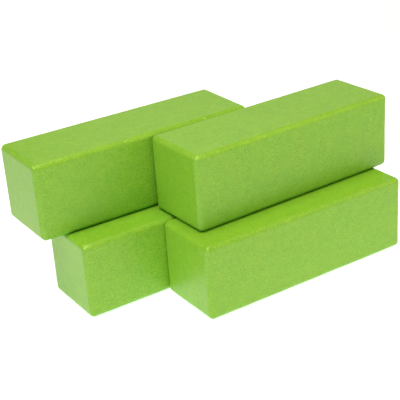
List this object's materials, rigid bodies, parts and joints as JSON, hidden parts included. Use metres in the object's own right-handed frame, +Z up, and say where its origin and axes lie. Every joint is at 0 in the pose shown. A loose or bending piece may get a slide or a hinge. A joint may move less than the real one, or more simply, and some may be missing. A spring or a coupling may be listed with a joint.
{
  "type": "floral foam brick",
  "caption": "Long square-section floral foam bricks with softly rounded edges and a smooth satin skin, in a loose staggered stack.",
  "frame": {"origin": "middle of the stack's footprint, on the table that the lower bricks lie on", "axes": "+X along the bricks, towards the end that the lower front brick reaches; +Y from the front row to the rear row; +Z up"},
  "size_m": [0.3486, 0.179, 0.15],
  "materials": {
    "green_foam": "satin"
  },
  "bodies": {
    "lower_front": {"lower_front_brick": "green_foam"},
    "lower_rear": {"lower_rear_brick": "green_foam"},
    "upper_front": {"upper_front_brick": "green_foam"},
    "upper_rear": {"upper_rear_brick": "green_foam"}
  },
  "joints": [
    {"name": "lower_rear_slide", "type": "slide", "parent": "lower_front", "child": "lower_rear", "axis": [0, 1, 0], "range_m": [0, 0.1]},
    {"name": "upper_front_lift", "type": "slide", "parent": "lower_front", "child": "upper_front", "axis": [0, 0, 1], "range_m": [0, 0.1]},
    {"name": "upper_rear_lift", "type": "slide", "parent": "lower_rear", "child": "upper_rear", "axis": [0, 0, 1], "range_m": [0, 0.1]}
  ]
}
